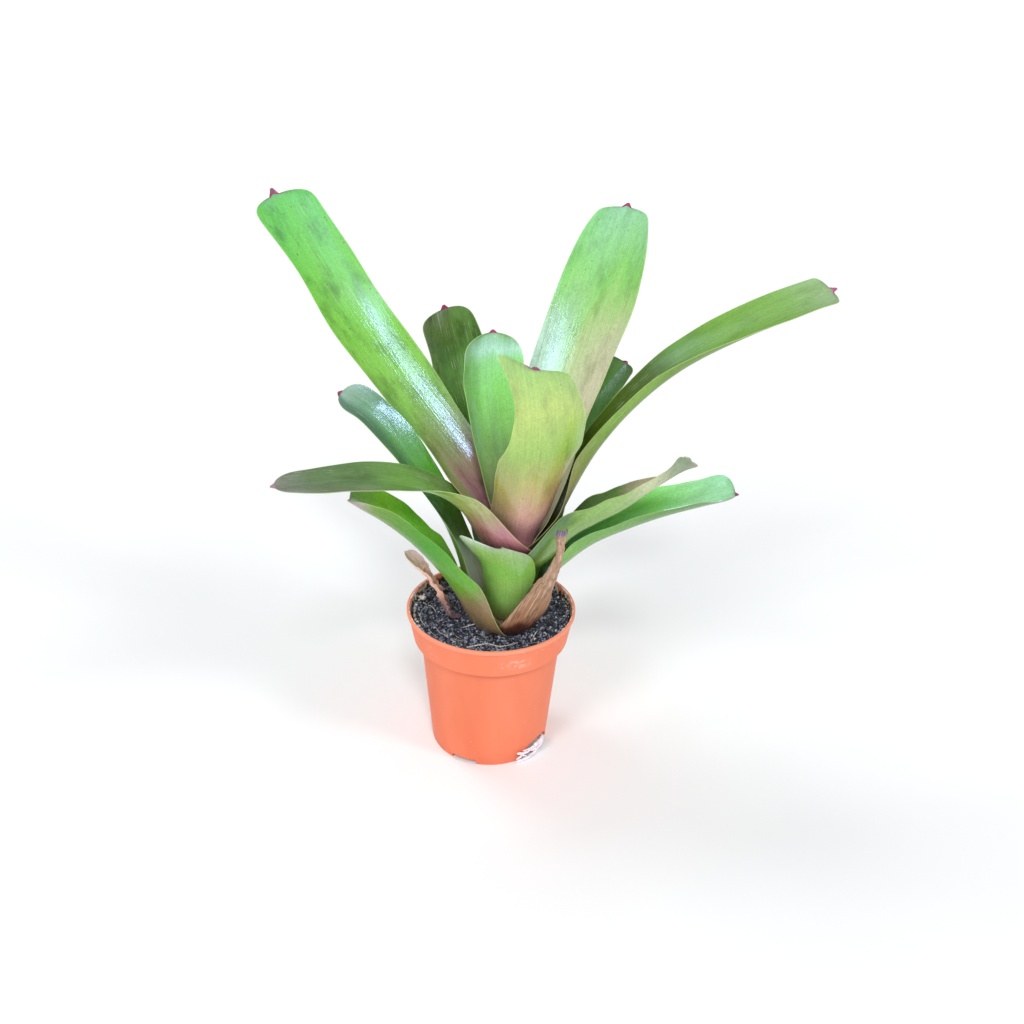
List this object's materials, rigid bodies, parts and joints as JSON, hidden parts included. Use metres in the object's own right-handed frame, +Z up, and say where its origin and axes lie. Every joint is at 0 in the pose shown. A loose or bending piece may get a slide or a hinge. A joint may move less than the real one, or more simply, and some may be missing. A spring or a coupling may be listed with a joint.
{
  "type": "potted bromeliad",
  "caption": "Living neoregelia bromeliad, a funnel of green strap leaves with pink bases, standing in soil in a round terracotta-coloured plastic nursery pot.",
  "frame": {"origin": "middle of the pot's base, on the surface that the pot stands on", "axes": "+Z up, +X to the right as seen from the front, +Y to the back"},
  "size_m": [0.3853, 0.182, 0.3773],
  "materials": {
    "pot_plastic": "satin, lightly scuffed",
    "soil": "rough, lumpy",
    "stem": "dull",
    "root": "dull",
    "dead_leaf": "dry, fibrous",
    "dark_leaf": "waxy",
    "leaf": "waxy, glossy"
  },
  "bodies": {
    "root": {"pot": "pot_plastic", "soil": "soil", "stem": "stem", "drain_roots": "root", "dead_leaf_left": "dead_leaf", "dead_leaf_right": "dead_leaf", "leaf_dark_left": "dark_leaf", "leaf_hidden_left": "dark_leaf", "leaf_small_back": "dark_leaf", "leaf_dark_back": "dark_leaf", "leaf_low_left": "leaf", "leaf_low_front": "leaf", "leaf_low_right": "leaf", "leaf_low_back": "leaf", "leaf_twisted_right": "leaf", "leaf_arching_left": "leaf", "leaf_arching_right": "leaf", "leaf_tall_left": "leaf", "leaf_tall_back": "leaf", "leaf_front": "leaf", "leaf_heart": "leaf"}
  },
  "joints": []
}
